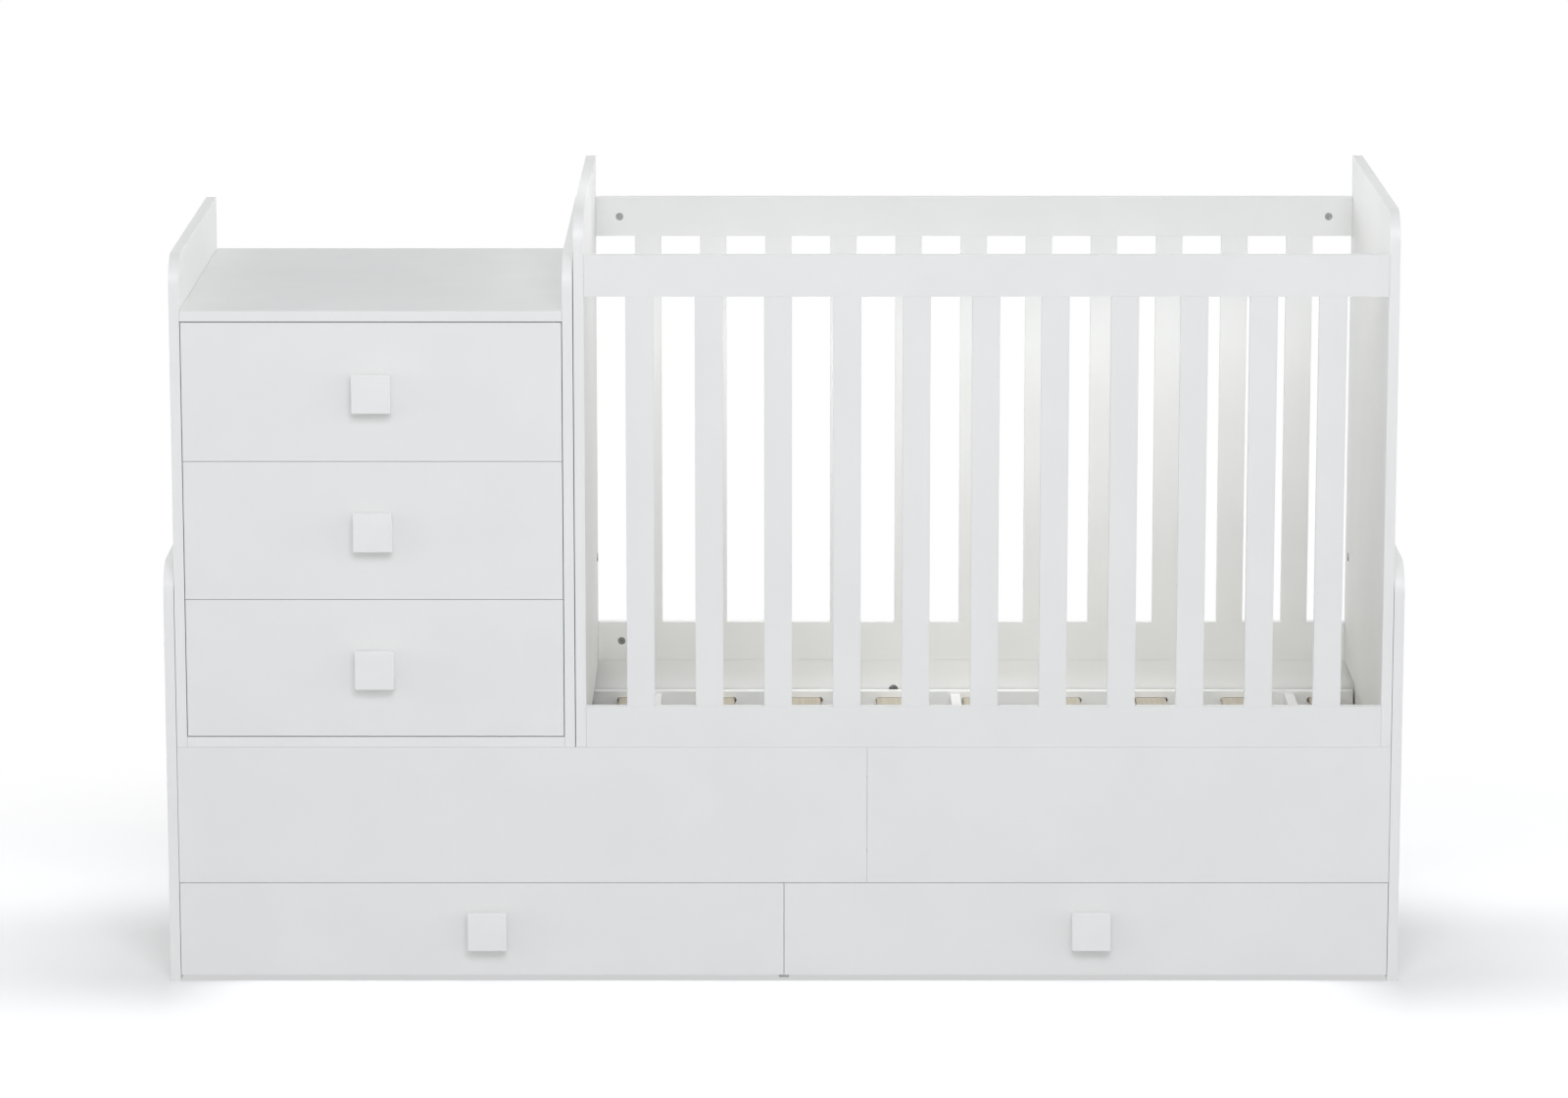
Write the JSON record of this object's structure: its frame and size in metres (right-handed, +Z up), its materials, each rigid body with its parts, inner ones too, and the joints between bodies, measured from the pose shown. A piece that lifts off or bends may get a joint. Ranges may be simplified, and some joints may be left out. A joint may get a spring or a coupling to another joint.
{
  "type": "crib with changing chest",
  "caption": "White barred crib and changing chest of drawers, side by side on a low bed base with a slatted floor and roll-out drawers.",
  "frame": {"origin": "on the floor, at the middle of the outline seen from above", "axes": "+X along the length, to the right seen from the front; -Y to the front; +Z up"},
  "size_m": [1.8892, 0.662, 1.191],
  "materials": {
    "white_board": "satin melamine over chipboard",
    "white_inner": "satin melamine over chipboard",
    "hardboard": "white lacquered hardboard",
    "birch": "clear lacquered birch plywood",
    "beech": "bare wood",
    "zinc": "zinc plated",
    "runner_steel": "white powder coat",
    "nylon": "moulded nylon",
    "castor_plastic": "grey moulded plastic"
  },
  "bodies": {
    "frame": {"base_end_left": "white_board", "base_end_right": "white_board", "front_board_left": "white_board", "front_board_right": "white_board", "back_board_left": "white_board", "back_board_right": "white_board", "partition": "white_board", "ledges": "beech", "slat_frame_long": "white_board", "slat_frame_short": "white_board", "plywood_slats": "birch", "crib_end_left": "white_board", "crib_end_right": "white_board", "crib_front_top_rail": "white_board", "crib_front_bottom_rail": "white_board", "crib_front_bars": "white_board", "crib_back_top_rail": "white_board", "crib_back_bottom_rail": "white_board", "crib_back_bars": "white_board", "bar_dowels": "beech", "crib_bolts": "zinc", "cam_locks": "zinc", "unit_connectors": "zinc", "chest_side_left": "white_board", "chest_side_right": "white_board", "chest_top": "white_board", "chest_bottom": "white_board", "chest_back": "hardboard", "chest_runners": "runner_steel"},
    "low_drawer": {"low_drawer_front": "white_board", "low_drawer_box": "white_inner", "low_drawer_knob": "white_board", "low_drawer_runners": "runner_steel"},
    "low_cabinet_rollers": {"low_cabinet_rollers": "nylon"},
    "low_drawer_rollers": {"low_drawer_rollers": "nylon"},
    "middle_drawer": {"middle_drawer_front": "white_board", "middle_drawer_box": "white_inner", "middle_drawer_knob": "white_board", "middle_drawer_runners": "runner_steel"},
    "middle_cabinet_rollers": {"middle_cabinet_rollers": "nylon"},
    "middle_drawer_rollers": {"middle_drawer_rollers": "nylon"},
    "top_drawer": {"top_drawer_front": "white_board", "top_drawer_box": "white_inner", "top_drawer_knob": "white_board", "top_drawer_runners": "runner_steel"},
    "top_cabinet_rollers": {"top_cabinet_rollers": "nylon"},
    "top_drawer_rollers": {"top_drawer_rollers": "nylon"},
    "left_bed_drawer": {"left_bed_drawer_front": "white_board", "left_bed_drawer_box": "white_inner", "left_bed_drawer_knob": "white_board", "left_bed_drawer_castors": "zinc"},
    "left_front_wheels": {"left_front_wheels": "castor_plastic"},
    "left_rear_wheels": {"left_rear_wheels": "castor_plastic"},
    "right_bed_drawer": {"right_bed_drawer_front": "white_board", "right_bed_drawer_box": "white_inner", "right_bed_drawer_knob": "white_board", "right_bed_drawer_castors": "zinc"},
    "right_front_wheels": {"right_front_wheels": "castor_plastic"},
    "right_rear_wheels": {"right_rear_wheels": "castor_plastic"}
  },
  "joints": [
    {"name": "low_drawer_slide", "type": "slide", "parent": "frame", "child": "low_drawer", "axis": [0, -1, 0], "range_m": [0, 0.38]},
    {"name": "low_cabinet_rollers_turn", "type": "hinge", "parent": "frame", "child": "low_cabinet_rollers", "pos_m": [-0.6225, -0.278, 0.4235], "axis": [1, 0, 0], "range_deg": [0, 2425]},
    {"name": "low_drawer_rollers_turn", "type": "hinge", "parent": "low_drawer", "child": "low_drawer_rollers", "pos_m": [-0.6225, 0.194, 0.4235], "axis": [1, 0, 0], "range_deg": [0, 2425]},
    {"name": "middle_drawer_slide", "type": "slide", "parent": "frame", "child": "middle_drawer", "axis": [0, -1, 0], "range_m": [0, 0.38]},
    {"name": "middle_cabinet_rollers_turn", "type": "hinge", "parent": "frame", "child": "middle_cabinet_rollers", "pos_m": [-0.6225, -0.278, 0.63643], "axis": [1, 0, 0], "range_deg": [0, 2425]},
    {"name": "middle_drawer_rollers_turn", "type": "hinge", "parent": "middle_drawer", "child": "middle_drawer_rollers", "pos_m": [-0.6225, 0.194, 0.63643], "axis": [1, 0, 0], "range_deg": [0, 2425]},
    {"name": "top_drawer_slide", "type": "slide", "parent": "frame", "child": "top_drawer", "axis": [0, -1, 0], "range_m": [0, 0.38]},
    {"name": "top_cabinet_rollers_turn", "type": "hinge", "parent": "frame", "child": "top_cabinet_rollers", "pos_m": [-0.6225, -0.278, 0.84937], "axis": [1, 0, 0], "range_deg": [0, 2425]},
    {"name": "top_drawer_rollers_turn", "type": "hinge", "parent": "top_drawer", "child": "top_drawer_rollers", "pos_m": [-0.6225, 0.194, 0.84937], "axis": [1, 0, 0], "range_deg": [0, 2425]},
    {"name": "left_bed_drawer_slide", "type": "slide", "parent": "frame", "child": "left_bed_drawer", "axis": [0, -1, 0], "range_m": [0, 0.5]},
    {"name": "left_front_wheels_turn", "type": "hinge", "parent": "left_bed_drawer", "child": "left_front_wheels", "pos_m": [-0.463, -0.243, 0.016], "axis": [1, 0, 0], "range_deg": [0, 1795]},
    {"name": "left_rear_wheels_turn", "type": "hinge", "parent": "left_bed_drawer", "child": "left_rear_wheels", "pos_m": [-0.463, 0.259, 0.016], "axis": [1, 0, 0], "range_deg": [0, 1795]},
    {"name": "right_bed_drawer_slide", "type": "slide", "parent": "frame", "child": "right_bed_drawer", "axis": [0, -1, 0], "range_m": [0, 0.5]},
    {"name": "right_front_wheels_turn", "type": "hinge", "parent": "right_bed_drawer", "child": "right_front_wheels", "pos_m": [0.463, -0.243, 0.016], "axis": [1, 0, 0], "range_deg": [0, 1795]},
    {"name": "right_rear_wheels_turn", "type": "hinge", "parent": "right_bed_drawer", "child": "right_rear_wheels", "pos_m": [0.463, 0.259, 0.016], "axis": [1, 0, 0], "range_deg": [0, 1795]}
  ],
  "couplings": [
    {"joint": "low_cabinet_rollers_turn", "follows": "low_drawer_slide", "rad_per_m": 111.11},
    {"joint": "low_drawer_rollers_turn", "follows": "low_drawer_slide", "rad_per_m": 111.11},
    {"joint": "middle_cabinet_rollers_turn", "follows": "middle_drawer_slide", "rad_per_m": 111.11},
    {"joint": "middle_drawer_rollers_turn", "follows": "middle_drawer_slide", "rad_per_m": 111.11},
    {"joint": "top_cabinet_rollers_turn", "follows": "top_drawer_slide", "rad_per_m": 111.11},
    {"joint": "top_drawer_rollers_turn", "follows": "top_drawer_slide", "rad_per_m": 111.11},
    {"joint": "left_front_wheels_turn", "follows": "left_bed_drawer_slide", "rad_per_m": 62.5},
    {"joint": "left_rear_wheels_turn", "follows": "left_bed_drawer_slide", "rad_per_m": 62.5},
    {"joint": "right_front_wheels_turn", "follows": "right_bed_drawer_slide", "rad_per_m": 62.5},
    {"joint": "right_rear_wheels_turn", "follows": "right_bed_drawer_slide", "rad_per_m": 62.5}
  ]
}
